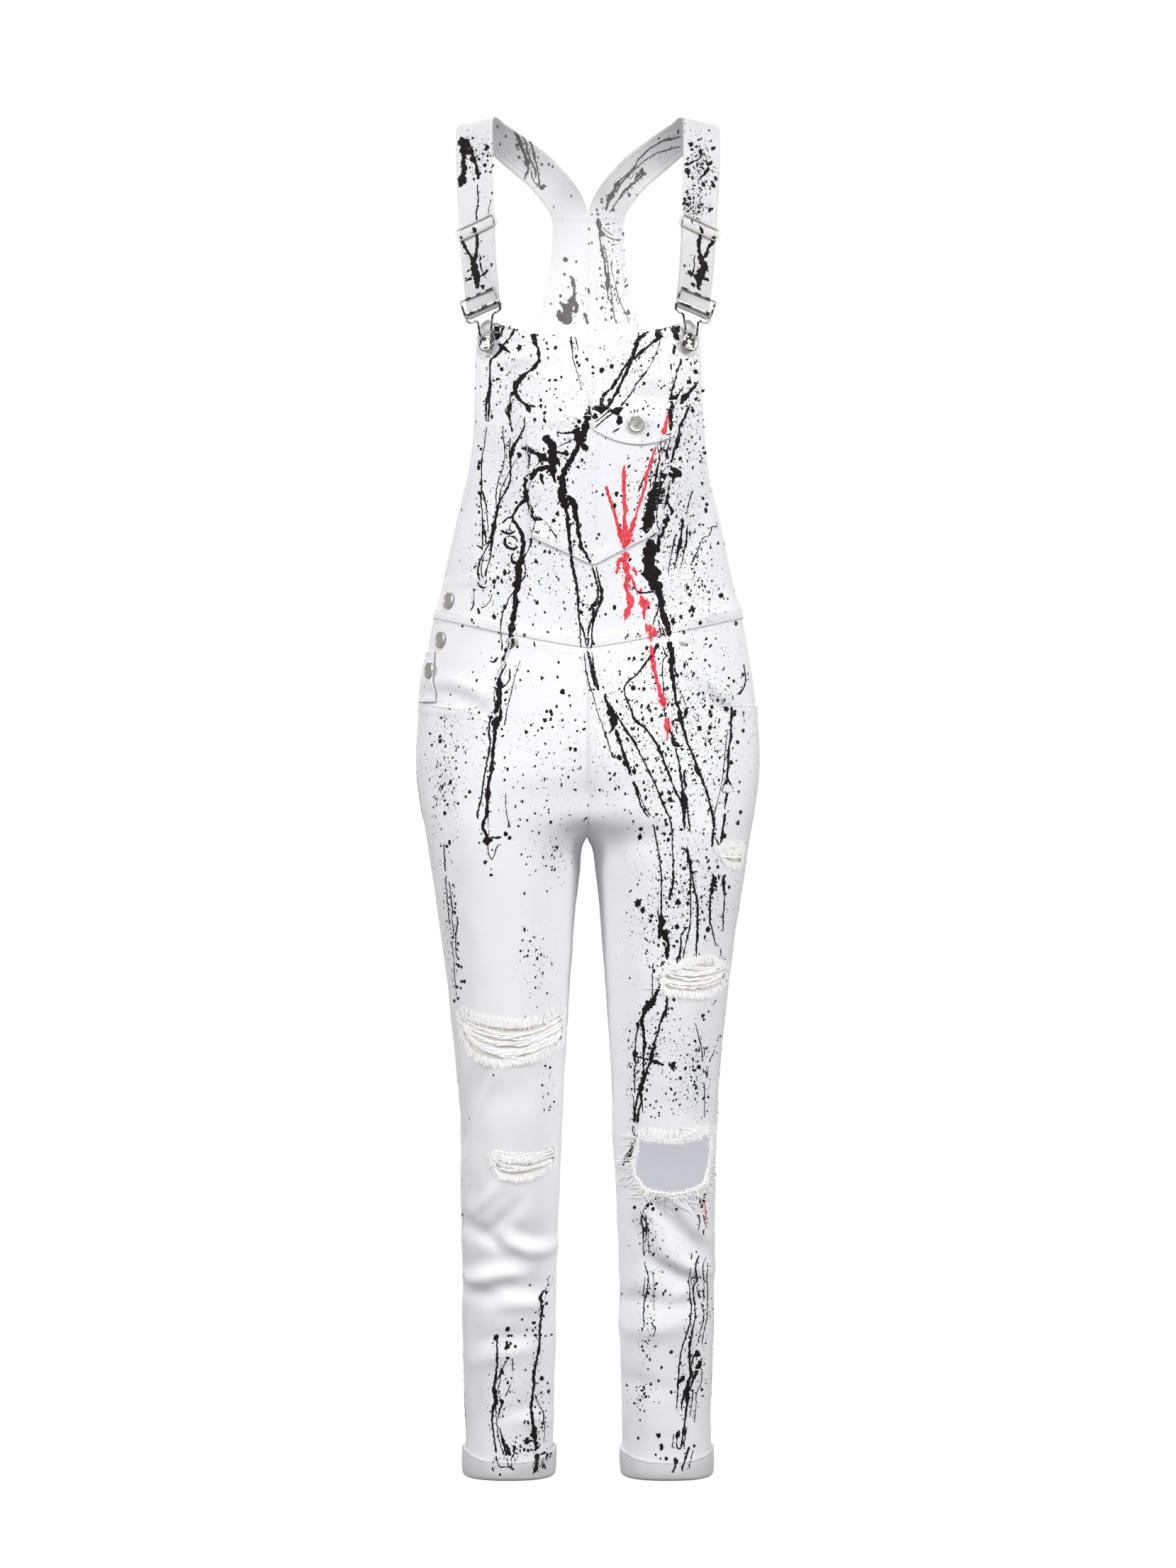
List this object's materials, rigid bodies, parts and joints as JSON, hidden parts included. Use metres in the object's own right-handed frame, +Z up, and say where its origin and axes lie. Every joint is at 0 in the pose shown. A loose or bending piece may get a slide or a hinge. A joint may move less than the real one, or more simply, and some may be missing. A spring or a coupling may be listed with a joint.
{
  "type": "paint spattered overalls",
  "caption": "Hollow denim overalls filled out as worn, with a scooped bib, patch pocket and flap, crossed shoulder straps on wire buckles, an open knee and turned-up hems.",
  "frame": {"origin": "midway between the two straps where they pass over the shoulders", "axes": "+Z up along the body, the wearer faces -Y, the wearer's left is +X"},
  "size_m": [0.3566, 0.2509, 1.418],
  "materials": {
    "white_denim": "matt white cotton twill, with black and red paint drips and spatter in the visual model",
    "nickel": "satin, warm grey nickel plate"
  },
  "bodies": {
    "root": {"back_left": "white_denim", "back_leg_left": "white_denim", "back_leg_right": "white_denim", "back_right": "white_denim", "bib_left": "white_denim", "bib_pocket": "white_denim", "bib_pocket_flap": "white_denim", "bib_right": "white_denim", "buckle_left": "nickel", "buckle_right": "nickel", "cuff_left": "white_denim", "cuff_right": "white_denim", "flap_button": "nickel", "front_leg_left": "white_denim", "front_leg_right": "white_denim", "pocket_facing_left": "white_denim", "pocket_facing_right": "white_denim", "rivet_left": "nickel", "rivet_right": "nickel", "side_button_1": "nickel", "side_button_2": "nickel", "side_button_3": "nickel", "side_placket": "white_denim", "slider_left": "nickel", "slider_right": "nickel", "strap_back_left": "white_denim", "strap_back_right": "white_denim", "strap_button_left": "nickel", "strap_button_right": "nickel", "strap_front_left": "white_denim", "strap_front_right": "white_denim"}
  },
  "joints": []
}
